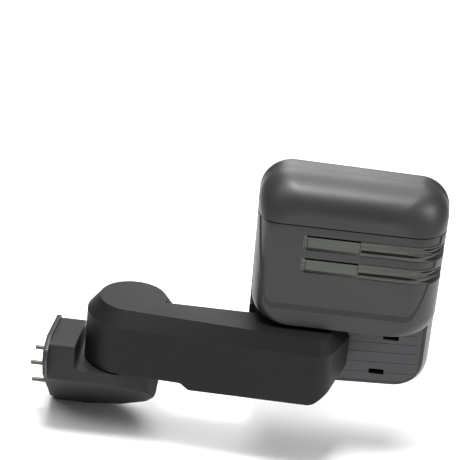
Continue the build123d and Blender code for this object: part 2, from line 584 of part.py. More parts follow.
def make_frame():
    left, right, step_z = HEAD_X0 + 4, HEAD_X1 - 4, SHELL_Z0 - 1
    low = slab_y([(left, 24), (right, 40), (right, step_z), (left, step_z)], [18, 30, 1, 1], PLATE_LOW_Y,
                 PLATE_LOW_Y + PLATE_THICK)
    low -= slab_y(rect(430, 500, 56, 108), 8, PLATE_LOW_Y - 1, PLATE_LOW_Y + 9)
    high = slab_y(rect(left, right, step_z - 3, 306), [1, 1, 22, 18], PLATE_HIGH_Y,
                  PLATE_HIGH_Y + PLATE_THICK)
    step = box(left + 1, right - 1, PLATE_HIGH_Y, PLATE_LOW_Y + PLATE_THICK, step_z - 3, step_z)
    frame = (low + high + step) & housing_volume(SKIN + 0.4)
    x, z = UPPER_PIVOT
    frame -= slab_y(rect(x - ACT_HALF - 0.3, x + ACT_HALF + 0.3, z - ACT_HALF - 0.3, z + ACT_HALF + 0.3), 12,
                    PLATE_HIGH_Y - 1, PLATE_HIGH_Y + 9)
    frame -= slab_y(rect(300, 342, 150, 280), 8, PLATE_HIGH_Y - 1, PLATE_HIGH_Y + 9)
    frame -= slab_y(rect(456, 506, 196, 280), 8, PLATE_HIGH_Y - 1, PLATE_HIGH_Y + 9)
    for z in ROD_Z:
        for x0, x1 in ((HEAD_X0 + 4, NECK_X0 - 1.0), (ROD_X1 - 10, ROD_X1 + 2)):
            frame += box(x0, x1, ROD_Y - 9, PLATE_LOW_Y + 1, z - 9, z + 9)
        frame -= rod_x(ROD_R, ROD_X0, ROD_X1, ROD_Y, z)
    for x, z in BOSS_XZ:
        frame -= rod_y(2.2, 30, 60, x, z)
    x, z = LOWER_PIVOT
    frame += ears(x, z, True, PLATE_LOW_Y + 1)
    keep("head_frame", frame)
    keep("slide_rods", solids_of(*[rod_x(ROD_R, ROD_X0, ROD_X1, ROD_Y, z) for z in ROD_Z]))
    keep("frame_screws", solids_of(*[
        Pos(x, PLATE_LOW_Y if z < SHELL_Z0 else PLATE_HIGH_Y, z) * Rot(-90, 0, 0) * screw(15)
        for x, z in BOSS_XZ]))


def ears(x, z, along_x, y0):
    """Two upright ears with pins, either side of a gimbal ring at (x, z), standing on y0."""
    shape = None
    for side in (-1, 1):
        mid = side * (EAR_R0 + EAR_R1) / 2
        top = GIMBAL_Y + EAR_HALF
        if along_x:
            ear = box(x + mid - 2, x + mid + 2, y0, top, z - EAR_HALF, z + EAR_HALF)
            pin = rod_x(PIN_R, min(x + side * 12, x + mid), max(x + side * 12, x + mid), GIMBAL_Y, z)
        else:
            ear = box(x - EAR_HALF, x + EAR_HALF, GIMBAL_Y - EAR_HALF, y0, z + mid - 2, z + mid + 2)
            pin = rod_z(PIN_R, min(z + side * 12, z + mid), max(z + side * 12, z + mid), x, GIMBAL_Y)
        shape = ear + pin if shape is None else shape + ear + pin
    return shape


def gimbal_ring(x, z):
    ring = rod_y(RING_R, GIMBAL_Y - RING_T / 2, GIMBAL_Y + RING_T / 2, x, z)
    ring -= rod_y(RING_BORE, GIMBAL_Y - 9, GIMBAL_Y + 9, x, z)
    ring -= rod_x(PIN_R + FIT, x - 20, x + 20, GIMBAL_Y, z)
    ring -= rod_z(PIN_R + FIT, z - 20, z + 20, x, GIMBAL_Y)
    return ring


def spur_gear(teeth, y0, y1, x, z, bore, phase=0.0):
    """A spur gear along Y with straight-flanked teeth and a little backlash."""
    pitch_r = GEAR_MODULE * teeth / 2
    root_r, tip_r = pitch_r - 1.25 * GEAR_MODULE, pitch_r + 0.95 * GEAR_MODULE
    step = 2 * pi / teeth
    points = []
    for k in range(teeth):
        a = phase + k * step
        for r, share in ((root_r, -0.34), (pitch_r, -0.235), (tip_r, -0.11), (tip_r, 0.11), (pitch_r, 0.235),
                         (root_r, 0.34)):
            points.append((x + r * cos(a + share * step), z + r * sin(a + share * step)))
    body = extrude(Plane.XZ.offset(-y1) * make_face(Polyline(*points, close=True)), y1 - y0)
    return body - rod_y(bore, y0 - 1, y1 + 1, x, z)


def make_actuator():
    x, z = UPPER_PIVOT
    square = rect(x - ACT_HALF, x + ACT_HALF, z - ACT_HALF, z + ACT_HALF)
    case = slab_y(square, 11, ACT_Y0, ACT_SEAM_Y)
    case -= slab_y(inset_points(square, 2), 9, ACT_Y0 + 2, ACT_SEAM_Y + 1)
    cover = slab_y(inset_points(square, -4), 14, ACT_SEAM_Y, ACT_Y1 - 4)
    cover += slab_y(square, 11, ACT_Y1 - 5, ACT_Y1)
    cover -= slab_y(inset_points(square, 2), 9, ACT_SEAM_Y - 1, ACT_Y1 - 2)
    corners = [(x + sx * ACT_SCREW, z + sz * ACT_SCREW) for sx in (-1, 1) for sz in (-1, 1)]
    for place in (TILT_NUT, PAN_NUT):
        case += rod_y(PLUNGER_R + 2.2, ACT_Y0 + 1, GEAR_Y0 - 0.3, *place)
        cover += rod_y(PLUNGER_R + 2.2, GEAR_Y1 + 0.3, ACT_Y1 - 1, *place)
    for place in (TILT_PINION, PAN_PINION):
        case += rod_y(MOTOR_R + 1.2, ACT_Y0 + 1, MOTOR_Y0 + 3, *place)
    for place in corners:
        case += rod_y(4.5, ACT_Y0 + 1, ACT_SEAM_Y, *place)
    for place in (TILT_NUT, PAN_NUT):
        case -= rod_y(PLUNGER_R + FIT, ACT_Y0 + 3, ACT_SEAM_Y, *place)
        cover -= rod_y(PLUNGER_R + FIT, ACT_SEAM_Y - 9, ACT_Y1 + 1, *place)
    for place in (TILT_PINION, PAN_PINION):
        case -= rod_y(MOTOR_R, MOTOR_Y0, ACT_SEAM_Y, *place)
    for place in corners:
        case -= rod_y(2.0, ACT_SEAM_Y - 11, ACT_SEAM_Y + 1, *place)
        cover -= rod_y(2.2, ACT_SEAM_Y - 9, ACT_Y1 + 1, *place)
    cover += ears(x, z, True, ACT_Y1 - 1)
    keep("actuator_case", case)
    keep("actuator_cover", cover)
    keep("actuator_screws", solids_of(*[
        Pos(px, ACT_Y1, pz) * Rot(90, 0, 0) * screw(17) for px, pz in corners]))

    mesh = pi / GEAR_TEETH
    for name, nut, pinion, at in (("tilt", TILT_NUT, TILT_PINION, pi), ("pan", PAN_NUT, PAN_PINION, -pi / 2)):
        keep(f"{name}_gear_nut", spur_gear(GEAR_TEETH, GEAR_Y0, GEAR_Y1, *nut, PLUNGER_R + 0.08, at + mesh))
        keep(f"{name}_pinion", spur_gear(PINION_TEETH, GEAR_Y0, GEAR_Y1, *pinion, 1.0 + FIT, at + pi))
        motor = rod_y(MOTOR_R, MOTOR_Y0, MOTOR_Y1, *pinion) + rod_y(3, MOTOR_Y1, MOTOR_Y1 + 1.5, *pinion)
        motor += rod_y(1.0, MOTOR_Y1, GEAR_Y1 - 0.5, *pinion)
        keep(f"{name}_motor", motor)
        plunger = rod_y(PLUNGER_R, ACT_Y0 + 8, ACT_Y1 + 1.5, *nut) + rod_y(2.2, ACT_Y1 + 1, GIMBAL_Y, *nut)
        keep(f"{name}_plunger", plunger + Pos(nut[0], GIMBAL_Y, nut[1]) * Sphere(3))


def make_glasses():
    x, z = UPPER_PIVOT
    back = GLASS_FACE_Y - GLASS_T
    keep("upper_glass", slab_y(UPPER_XZ, UPPER_R, back, GLASS_FACE_Y))
    pad = slab_y(inset_points(UPPER_XZ, 10), [4, 8, 12, 20, 4, 4], back - 0.8, back)
    keep("heater_pad", pad)
    holder = slab_y(inset_points(UPPER_XZ, 0.8), [9, 17, 9, 14, 4, 4], back - 3.3, back) - pad
    for cx, cz in (TILT_NUT, PAN_NUT):
        holder += rod_y(6.5, GIMBAL_Y - 0.6, back - 2, cx, cz)
        holder -= rod_y(3.8, GIMBAL_Y - 5, GIMBAL_Y + 3.6, cx, cz)
    holder += ears(x, z, False, back - 2)
    keep("glass_holder", holder)
    keep("gimbal_ring", gimbal_ring(x, z))

    x, z = LOWER_PIVOT
    middle = ((GLASS_X0 + GLASS_X1) / 2, (GLASS_Z0 + split_z(GLASS_X0)) / 2)
    ball = Pos(middle[0], GLASS_FACE_Y - CONVEX_R, middle[1])
    prism = slab_y(LOWER_XZ, LOWER_R, GLASS_FACE_Y - 12, GLASS_FACE_Y + 1)
    keep("lower_glass", (prism & ball * Sphere(CONVEX_R)) - ball * Sphere(CONVEX_R - GLASS_T))
    carrier = slab_y(inset_points(LOWER_XZ, 0.8), [11, 4, 14, 9, 17, 11], GLASS_FACE_Y - 10, GLASS_FACE_Y)
    carrier &= ball * Sphere(CONVEX_R - GLASS_T)
    carrier -= slab_y(rect(x - 60, x - 26, z - 24, z + 24), 6, 0, GLASS_FACE_Y - 6)
    carrier += ears(x, z, False, GLASS_FACE_Y - 7)
    keep("spotter_holder", carrier)
    keep("spotter_ring", gimbal_ring(x, z))


def capsule(half_w, half_h, y0, y1):
    points = rect(LAMP_X - half_w, LAMP_X + half_w, LAMP_Z - half_h, LAMP_Z + half_h)
    return slab_y(points, half_w - 0.01, y0, y1)


def make_lamp():
    foot_xz = rect(NOTCH_X + 2.5, GLASS_X1 + 3.8, NOTCH_Z0 + 2.5, NOTCH_Z1 - 2.5)
    upper = slab_y(POD_XZ, POD_R, GLASS_FACE_Y - 4, POD_TOP_Y)
    pod = slab_y(foot_xz, [11, 4, 4, 11], 62, GLASS_FACE_Y - 1) + upper
    pod &= opening(-0.15)
    pod -= slab_y(POD_HOLLOW_XZ, 8, POD_FLOOR_Y, POD_TOP_Y + 1)
    pod -= slab_y(inset_points(foot_xz, 2.5), [8, 2, 2, 8], 60, POD_FLOOR_Y - 2.5)
    pod -= capsule(LENS_HALF_W + 0.1, LENS_HALF_H + 0.1, 60, POD_TOP_Y + 1)
    keep("rear_lamp_bezel", pod)
    lens = capsule(LENS_HALF_W, LENS_HALF_H, POD_FLOOR_Y - 3, POD_FLOOR_Y + 3)
    lens = fillet(lens.faces().sort_by(Axis.Y)[-1].edges(), 2.0)
    lens += capsule(LENS_HALF_W + 2, LENS_HALF_H + 2, POD_FLOOR_Y - 4.2, POD_FLOOR_Y - 2.5)
    lens -= capsule(LENS_HALF_W - 1.5, LENS_HALF_H - 1.5, POD_FLOOR_Y - 6, POD_FLOOR_Y + 1.2)
    keep("rear_lamp_lens", lens)
    bowl = capsule(LENS_HALF_W + 2, LENS_HALF_H + 2, POD_FLOOR_Y - 9, POD_FLOOR_Y - 4.2)
    leds = []
    for side in (-1, 1):
        z = LAMP_Z + side * 9
        bowl -= Pos(LAMP_X, POD_FLOOR_Y - 6.6, z) * Rot(-90, 0, 0) * Cone(2.6, 8.2, 4.82)
        bowl -= rod_y(2.6, POD_FLOOR_Y - 10, POD_FLOOR_Y - 4, LAMP_X, z)
        leds.append(rod_y(2.5, POD_FLOOR_Y - 9, POD_FLOOR_Y - 7.4, LAMP_X, z))
    keep("rear_lamp_reflector", bowl)
    keep("rear_lamp_leds", solids_of(*leds))
    keep("rear_lamp_board", capsule(LENS_HALF_W + 3, LENS_HALF_H + 3, POD_FLOOR_Y - 10.6, POD_FLOOR_Y - 9))


make_foot()
make_arm()
make_shells()
make_rear_housing()
make_frame()
make_actuator()
make_glasses()
make_lamp()


# ---------------------------------------------------------------- write the parts
def write():
    os.makedirs("parts", exist_ok=True)
    for name, shape in NODES.items():
        export_step(shape, f"parts/{name}.step")


write()
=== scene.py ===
"""Looks for the left-hand towing mirror: procedural materials, small visual pieces, light and camera.

Lengths are metres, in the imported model's frame: +X outboard, +Y rearward, +Z up.
"""

from math import cos, pi, radians, sin

import bmesh
import bpy
from mathutils import Matrix, Vector
from mathutils.bvhtree import BVHTree


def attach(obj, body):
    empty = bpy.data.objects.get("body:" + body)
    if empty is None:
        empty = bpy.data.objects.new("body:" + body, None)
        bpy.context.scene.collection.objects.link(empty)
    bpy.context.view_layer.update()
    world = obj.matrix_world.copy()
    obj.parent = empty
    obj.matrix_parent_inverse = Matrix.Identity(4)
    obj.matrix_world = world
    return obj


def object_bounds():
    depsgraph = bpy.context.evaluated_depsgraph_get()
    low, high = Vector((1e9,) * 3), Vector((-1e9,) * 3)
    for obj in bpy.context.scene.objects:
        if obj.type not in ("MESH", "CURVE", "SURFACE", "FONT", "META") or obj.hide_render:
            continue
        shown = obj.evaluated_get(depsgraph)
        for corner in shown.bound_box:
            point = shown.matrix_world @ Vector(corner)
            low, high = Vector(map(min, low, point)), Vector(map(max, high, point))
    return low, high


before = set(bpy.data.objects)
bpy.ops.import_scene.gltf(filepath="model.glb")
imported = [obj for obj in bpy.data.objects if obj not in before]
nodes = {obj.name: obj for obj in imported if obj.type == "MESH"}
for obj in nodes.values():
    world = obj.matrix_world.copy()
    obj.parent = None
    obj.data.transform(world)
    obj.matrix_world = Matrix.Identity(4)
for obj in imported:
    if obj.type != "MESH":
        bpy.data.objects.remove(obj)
cad_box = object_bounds()

# ---------------------------------------------------------------- camera
CAMERA_AZIMUTH, CAMERA_ELEVATION, CAMERA_ROLL = 1.74, 24.52, 5.79
CAMERA_TARGET = Vector((0.2333, 0.0669, 0.2073))
CAMERA_DISTANCE = 2.894
CAMERA_LENS = 162.8
SENSOR_WIDTH = 36.0


def add_camera():
    """The photograph's view: a long lens above the front, turned a little clockwise."""
    azimuth, elevation = radians(CAMERA_AZIMUTH), radians(CAMERA_ELEVATION)
    roll = radians(CAMERA_ROLL)
    back = Vector((sin(azimuth) * cos(elevation), -cos(azimuth) * cos(elevation), sin(elevation)))
    right = Vector((cos(azimuth), sin(azimuth), 0.0))
    up = back.cross(right)
    rolled_right = right * cos(roll) + up * sin(roll)
    rolled_up = up * cos(roll) - right * sin(roll)
    data = bpy.data.cameras.new("camera")
    data.lens = CAMERA_LENS
    data.sensor_width = SENSOR_WIDTH
    data.clip_end = 50.0
    camera = bpy.data.objects.new("camera", data)
    bpy.context.scene.collection.objects.link(camera)
    turn = Matrix((rolled_right, rolled_up, back)).transposed().to_4x4()
    camera.matrix_world = Matrix.Translation(CAMERA_TARGET + back * CAMERA_DISTANCE) @ turn
    bpy.context.scene.camera = camera


# ---------------------------------------------------------------- materials
SEAM_HALF = 0.0008
GRAIN_SCALE = 1500.0
EDGE_RADIUS = 0.0012
EDGE_PATCH_SCALE = 70.0
GRAIN_DEPTH, GRAIN_STRENGTH = 0.00006, 0.35


def new_material(name):
    material = bpy.data.materials.new(name)
    material.use_nodes = True
    tree = material.node_tree
    return material, tree, tree.nodes["Principled BSDF"]


def add_node(tree, kind, **settings):
    node = tree.nodes.new(kind)
    for key, value in settings.items():
        if key in node.inputs:
            node.inputs[key].default_value = value
        else:
            setattr(node, key, value)
    return node


def coordinates(tree, stretch=(1.0, 1.0, 1.0)):
    """Object coordinates, in metres, stretched along the axes."""
    place = add_node(tree, "ShaderNodeTexCoord")
    mapping = add_node(tree, "ShaderNodeMapping")
    mapping.inputs["Scale"].default_value = stretch
    tree.links.new(place.outputs["Object"], mapping.inputs["Vector"])
    return mapping.outputs["Vector"]


def noise(tree, vector, scale, detail=3.0, roughness=0.55):
    node = add_node(tree, "ShaderNodeTexNoise", Scale=scale, Detail=detail, Roughness=roughness)
    tree.links.new(vector, node.inputs["Vector"])
    return node.outputs["Fac"]


def cells(tree, vector, scale):
    node = add_node(tree, "ShaderNodeTexVoronoi", Scale=scale)
    tree.links.new(vector, node.inputs["Vector"])
    return node.outputs["Distance"]


def spread(tree, value, low, high, new_low, new_high):
    """value rescaled from one range to another, and held inside it."""
    node = add_node(tree, "ShaderNodeMapRange")
    node.clamp = True
    for key, number in (("From Min", low), ("From Max", high), ("To Min", new_low), ("To Max", new_high)):
        node.inputs[key].default_value = number
    tree.links.new(value, node.inputs["Value"])
    return node.outputs["Result"]


def math(tree, operation, a, b):
    node = add_node(tree, "ShaderNodeMath", operation=operation)
    for socket, value in zip(node.inputs, (a, b)):
        if isinstance(value, (int, float)):
            socket.default_value = value
        else:
            tree.links.new(value, socket)
    return node.outputs["Value"]


def blend_colours(tree, share, first, second):
    node = add_node(tree, "ShaderNodeMix", data_type="RGBA")
    for key, value in ((6, first), (7, second)):
        if isinstance(value, (tuple, list)):
            node.inputs[key].default_value = (*value, 1.0)
        else:
            tree.links.new(value, node.inputs[key])
    tree.links.new(share, node.inputs[0])
    return node.outputs[2]


def bump(tree, height, strength, distance, normal=None):
    node = add_node(tree, "ShaderNodeBump", Strength=strength, Distance=distance)
    tree.links.new(height, node.inputs["Height"])
    if normal is not None:
        tree.links.new(normal, node.inputs["Normal"])
    return node.outputs["Normal"]


def edge_wear_and_highlight_share(tree, radius):
    """0 on open faces, rising to 1 on outer edges, where rubbed wear and a painted edge highlight go."""
    bevel = add_node(tree, "ShaderNodeBevel", samples=4, Radius=radius)
    geometry = add_node(tree, "ShaderNodeNewGeometry")
    dot = add_node(tree, "ShaderNodeVectorMath", operation="DOT_PRODUCT")
    tree.links.new(bevel.outputs["Normal"], dot.inputs[0])
    tree.links.new(geometry.outputs["Normal"], dot.inputs[1])
    return spread(tree, dot.outputs["Value"], 1.0, 0.86, 0.0, 1.0)


def seam_shade_share(tree, where, seam_z):
    """1 on the parting line at one height, where painted shade darkens the gap, and 0 away from it."""
    split = add_node(tree, "ShaderNodeSeparateXYZ")
    tree.links.new(where, split.inputs["Vector"])
    away = math(tree, "ABSOLUTE", math(tree, "SUBTRACT", split.outputs["Z"], seam_z), 0.0)
    return spread(tree, away, SEAM_HALF, SEAM_HALF * 1.6, 1.0, 0.0)


def grained_plastic(name, base, rough=0.5, wear_and_highlight=0.35, specular=0.36, seam_z=None):
    """Moulded plastic with a spark-eroded grain, faint flow mottling, handling marks, and outer edges
    lightened as rubbed wear and painted edge highlight; where a seam height is given, painted shade along
    that parting line.
    """
    material, tree, shader = new_material(name)
    where = coordinates(tree)
    mottle = noise(tree, where, 26.0, 5.0)
    cloud = noise(tree, where, 6.0, 2.0)
    fine = noise(tree, where, GRAIN_SCALE, 2.0, 0.7)
    pits = cells(tree, where, GRAIN_SCALE * 0.55)
    dark = tuple(c * 0.95 for c in base)
    light = tuple(c * 1.06 for c in base)
    colour = blend_colours(tree, spread(tree, mottle, 0.35, 0.65, 0.0, 1.0), dark, light)
    speck = spread(tree, fine, 0.56, 0.72, 0.0, 0.16)
    colour = blend_colours(tree, speck, colour, tuple(min(1.0, c * 1.9 + 0.012) for c in base))
    # lighter outer edges: partly rubbed wear, partly a painted highlight along the edges
    edge = edge_wear_and_highlight_share(tree, EDGE_RADIUS)
    patches = spread(tree, noise(tree, where, EDGE_PATCH_SCALE, 4.0), 0.35, 0.65, 0.25, 1.0)
    rubbed_and_highlit = math(tree, "MULTIPLY", edge, patches)
    rubbed_and_highlit = math(tree, "MULTIPLY", rubbed_and_highlit, wear_and_highlight)
    colour = blend_colours(tree, rubbed_and_highlit, colour, tuple(min(1.0, c * 2.0 + 0.03) for c in base))
    # painted shade in the parting line: near-black colour and no specular there
    if seam_z:
        seam_shade = seam_shade_share(tree, where, seam_z)
        colour = blend_colours(tree, seam_shade, colour, (0.001, 0.001, 0.001))
        tree.links.new(spread(tree, seam_shade, 0.0, 1.0, specular, 0.0), shader.inputs["Specular IOR Level"])
    else:
        shader.inputs["Specular IOR Level"].default_value = specular
    tree.links.new(colour, shader.inputs["Base Color"])
    roughness = spread(tree, cloud, 0.3, 0.7, rough - 0.05, rough + 0.07)
    roughness = math(tree, "ADD", roughness, spread(tree, fine, 0.3, 0.7, -0.04, 0.05))
    roughness = math(tree, "SUBTRACT", roughness, math(tree, "MULTIPLY", rubbed_and_highlit, 0.25))
    tree.links.new(roughness, shader.inputs["Roughness"])
    height = math(tree, "ADD", fine, math(tree, "MULTIPLY", pits, 0.8))
    tree.links.new(bump(tree, height, GRAIN_STRENGTH, GRAIN_DEPTH), shader.inputs["Normal"])
    return material


def cast_metal(name, base=(0.42, 0.43, 0.44), rough=0.5):
    """Die-cast alloy: pebbled skin, rougher on its raised pebbles, with darker patches."""
    material, tree, shader = new_material(name)
    where = coordinates(tree)
    coarse = noise(tree, where, 260.0, 5.0)
    patch = noise(tree, where, 22.0, 3.0)
    dull = tuple(c * 0.8 for c in base)
    colour = blend_colours(tree, spread(tree, patch, 0.35, 0.65, 0.0, 1.0), dull, base)
    tree.links.new(colour, shader.inputs["Base Color"])
    shader.inputs["Metallic"].default_value = 1.0
    tree.links.new(spread(tree, coarse, 0.3, 0.7, rough - 0.1, rough + 0.14), shader.inputs["Roughness"])
    tree.links.new(bump(tree, coarse, 0.4, 0.0003), shader.inputs["Normal"])
    return material


def turned_steel(name, base=(0.55, 0.55, 0.56), rough=0.28, stretch=(1.0, 1.0, 40.0)):
    """Ground or plated steel with fine lay marks and a few stains."""
    material, tree, shader = new_material(name)
    lay = noise(tree, coordinates(tree, stretch), 90.0, 4.0, 0.7)
    stain = noise(tree, coordinates(tree), 48.0, 4.0)
    colour = blend_colours(tree, spread(tree, stain, 0.4, 0.7, 0.0, 1.0), base, tuple(c * 0.72 for c in base))
    tree.links.new(colour, shader.inputs["Base Color"])
    shader.inputs["Metallic"].default_value = 1.0
    tree.links.new(spread(tree, lay, 0.3, 0.7, rough - 0.07, rough + 0.12), shader.inputs["Roughness"])
    tree.links.new(bump(tree, lay, 0.15, 0.00005), shader.inputs["Normal"])
    return material


def silvered_glass(name):
    """A clean first-surface reflection with the faintest haze and dust."""
    material, tree, shader = new_material(name)
    where = coordinates(tree)
    haze = noise(tree, where, 9.0, 5.0)
    dust = noise(tree, where, 900.0, 2.0)
    dull, clean = (0.90, 0.91, 0.92), (0.95, 0.955, 0.96)
    colour = blend_colours(tree, spread(tree, haze, 0.3, 0.7, 0.0, 1.0), dull, clean)
    tree.links.new(colour, shader.inputs["Base Color"])
    shader.inputs["Metallic"].default_value = 1.0
    smear = spread(tree, haze, 0.4, 0.75, 0.006, 0.03)
    roughness = math(tree, "ADD", smear, spread(tree, dust, 0.66, 0.8, 0.0, 0.05))
    tree.links.new(roughness, shader.inputs["Roughness"])
    tree.links.new(bump(tree, haze, 0.01, 0.0002), shader.inputs["Normal"])
    return material


def smoked_lens(name, base=(0.105, 0.118, 0.088), ribs=0.0):
    """An opaque stand-in for smoked acrylic over a grey-green light pipe, streaked and frosted."""
    material, tree, shader = new_material(name)
    where = coordinates(tree)
    along = coordinates(tree, (1.4, 1.4, 34.0))
    streak = noise(tree, along, 9.0, 3.0, 0.5)
    frost = noise(tree, where, 420.0, 3.0)
    colour = blend_colours(tree, spread(tree, streak, 0.38, 0.62, 0.0, 1.0),
                           tuple(c * (1.0 - 0.75 * ribs) for c in base), tuple(c * 1.25 for c in base))
    pale = tuple(c * 1.5 for c in base)
    colour = blend_colours(tree, spread(tree, frost, 0.5, 0.7, 0.0, 0.3), colour, pale)
    tree.links.new(colour, shader.inputs["Base Color"])
    tree.links.new(spread(tree, frost, 0.3, 0.7, 0.24, 0.36), shader.inputs["Roughness"])
    shader.inputs["Coat Weight"].default_value = 0.2
    shader.inputs["Coat Roughness"].default_value = 0.05
    height = math(tree, "ADD", math(tree, "MULTIPLY", streak, ribs), math(tree, "MULTIPLY", frost, 0.1))
    tree.links.new(bump(tree, height, 0.6, 0.0006), shader.inputs["Normal"])
    return material


def clear_lens(name):
    """Clear polycarbonate with a slight ripple and dust."""
    material, tree, shader = new_material(name)
    where = coordinates(tree)
    ripple = noise(tree, where, 160.0, 2.0)
    shader.inputs["Base Color"].default_value = (0.97, 0.98, 0.99, 1.0)
    shader.inputs["Transmission Weight"].default_value = 0.96
    shader.inputs["IOR"].default_value = 1.5
    tree.links.new(spread(tree, ripple, 0.3, 0.7, 0.02, 0.08), shader.inputs["Roughness"])
    tree.links.new(bump(tree, ripple, 0.12, 0.0003), shader.inputs["Normal"])
    return material


def moulded_resin(name, base, rough=0.4, scale=300.0, specular=0.5):
    """Unpainted engineering plastic or rubber: fine drag marks and small tone changes."""
    material, tree, shader = new_material(name)
    where = coordinates(tree)
    fine = noise(tree, where, scale, 4.0)
    patch = noise(tree, where, 30.0, 3.0)
    colour = blend_colours(tree, spread(tree, patch, 0.35, 0.65, 0.0, 1.0), tuple(c * 0.85 for c in base),
                           tuple(min(1.0, c * 1.12) for c in base))
    tree.links.new(colour, shader.inputs["Base Color"])
    tree.links.new(spread(tree, fine, 0.3, 0.7, rough - 0.07, rough + 0.1), shader.inputs["Roughness"])
    shader.inputs["Specular IOR Level"].default_value = specular
    tree.links.new(bump(tree, fine, 0.25, 0.00012), shader.inputs["Normal"])
    return material


def led_phosphor(name):
    """The yellow phosphor of an unlit LED, dimpled under its silicone."""
    material, tree, shader = new_material(name)
    where = coordinates(tree)
    grain = noise(tree, where, 2200.0, 3.0)
    deep, pale = (0.62, 0.60, 0.12), (0.86, 0.82, 0.30)
    colour = blend_colours(tree, spread(tree, grain, 0.35, 0.65, 0.0, 1.0), deep, pale)
    tree.links.new(colour, shader.inputs["Base Color"])
    tree.links.new(spread(tree, grain, 0.3, 0.7, 0.25, 0.4), shader.inputs["Roughness"])
    shader.inputs["Coat Weight"].default_value = 0.6
    tree.links.new(bump(tree, grain, 0.3, 0.0001), shader.inputs["Normal"])
    return material


def circuit_board(name):
    material, tree, shader = new_material(name)
    where = coordinates(tree)
    tracks = add_node(tree, "ShaderNodeTexBrick", Scale=260.0)
    tree.links.new(where, tracks.inputs["Vector"])
    patch = noise(tree, where, 200.0, 2.0)
    deep, pale = (0.015, 0.11, 0.05), (0.03, 0.17, 0.08)
    colour = blend_colours(tree, spread(tree, patch, 0.4, 0.6, 0.0, 1.0), deep, pale)
    tree.links.new(colour, shader.inputs["Base Color"])
    tree.links.new(spread(tree, patch, 0.3, 0.7, 0.25, 0.4), shader.inputs["Roughness"])
    tree.links.new(bump(tree, tracks.outputs["Fac"], 0.3, 0.0001), shader.inputs["Normal"])
    return material


def paint(names, material):
    for name in names:
        slots = nodes[name].data.materials
        slots.clear()
        slots.append(material)


CAP_SEAM_Z = 0.2770
SHELL_GREY = (0.0150, 0.0150, 0.0156)
ARM_BLACK = (0.0080, 0.0080, 0.0088)
FOOT_GREY = (0.0150, 0.0150, 0.0162)


def dress_cad():
    # the cap seam gets painted shade from the shell material
    shell = grained_plastic("shell", SHELL_GREY, rough=0.40, specular=0.44, seam_z=CAP_SEAM_Z)
    paint(["front_shell", "head_cap"], shell)
    paint(["rear_housing"], grained_plastic("housing", SHELL_GREY, rough=0.40, specular=0.44))
    paint(["lower_panel"], grained_plastic("panel", (0.046, 0.0462, 0.050), rough=0.5, wear_and_highlight=0.2))
    paint(["rear_lamp_bezel"], grained_plastic("pod", (0.027, 0.0275, 0.03), rough=0.45))
    paint(["arm_cover", "arm_floor"], grained_plastic("arm", ARM_BLACK, rough=0.50, wear_and_highlight=0.25, specular=0.17))
    paint(["foot_cover"], grained_plastic("foot", FOOT_GREY, rough=0.50, wear_and_highlight=0.3, specular=0.22))
    paint(["signal_lenses"], smoked_lens("signal_lens", base=(0.024, 0.028, 0.020), ribs=1.0))
    paint(["signal_panels"], smoked_lens("signal_panel", base=(0.026, 0.030, 0.022), ribs=0.1))
    paint(["upper_glass", "lower_glass"], silvered_glass("silvered_glass"))
    inner = moulded_resin("inner", (0.012, 0.012, 0.013), rough=0.5)
    paint(["head_frame", "glass_holder", "spotter_holder", "actuator_case", "actuator_cover"], inner)
    rubber = moulded_resin("rubber", (0.008, 0.008, 0.008), rough=0.7, scale=700.0)
    paint(["door_gasket", "harness_grommet"], rubber)
    acetal = moulded_resin("acetal", (0.72, 0.70, 0.62), rough=0.35)
    paint(["pivot_bush", "slide_bushes", "gimbal_ring", "spotter_ring", "tilt_plunger", "pan_plunger",
           "tilt_gear_nut", "pan_gear_nut", "tilt_pinion", "pan_pinion"], acetal)
    paint(["foot_casting", "arm_casting"], cast_metal("casting", base=(0.085, 0.085, 0.09)))
    paint(["pivot_post", "detent_ring", "detent_cam", "pivot_spring", "tilt_motor", "pan_motor"],
          turned_steel("turned_steel"))
    paint(["slide_rods"], turned_steel("ground_rod", stretch=(40.0, 1.0, 1.0), rough=0.2))
    zinc = turned_steel("zinc_plate", base=(0.13, 0.125, 0.11), stretch=(1.0, 1.0, 1.0), rough=0.45)
    paint(["door_studs", "spring_retainer", "foot_cover_screws", "arm_screws", "actuator_screws",
           "frame_screws"], zinc)
    paint(["heater_pad"], moulded_resin("heater_foil", (0.45, 0.26, 0.12), rough=0.4))
    paint(["rear_lamp_lens"], clear_lens("clear_lens"))
    paint(["rear_lamp_reflector"],
          turned_steel("reflector", base=(0.82, 0.82, 0.82), stretch=(1.0, 1.0, 1.0), rough=0.15))
    paint(["rear_lamp_leds"], led_phosphor("phosphor"))
    paint(["rear_lamp_board"], circuit_board("board"))


# ---------------------------------------------------------------- pieces
def add_piece(name, points, faces, body, material, smooth=True):
    """A mesh piece that rides on a CAD body."""
    mesh = bpy.data.meshes.new(name)
    mesh.from_pydata([tuple(p) for p in points], [], faces)
    mesh.materials.append(material)
    mesh.polygons.foreach_set("use_smooth", [smooth] * len(mesh.polygons))
    mesh.update()
    build = bmesh.new()
    build.from_mesh(mesh)
    bmesh.ops.recalc_face_normals(build, faces=build.faces)
    build.to_mesh(mesh)
    build.free()
    piece = bpy.data.objects.new(name, mesh)
    bpy.context.scene.collection.objects.link(piece)
    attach(piece, body)
    return piece


def search_tree(name):
    """A CAD node's mesh, ready to be searched with rays."""
    mesh = nodes[name].data
    return BVHTree.FromPolygons([v.co[:] for v in mesh.vertices], [f.vertices[:] for f in mesh.polygons])


BARS = (("upper", 0.242, 0.264), ("lower", 0.209, 0.231))
NOSE_CENTRE = (0.484, 0.002)
NOSE_RADII = (0.042, 0.050)
LENS_START_X, LENS_END_Y = 0.4131, 0.0150
ROUTE_STEPS = 60
STREAK_STEPS = 28
RAY_REACH = 0.030
STREAK_PROUD, STREAK_SUNK = 0.00012, 0.0004
TAPER_START, TAPER_END = 3.0, 5.0
THINNEST = 0.00004
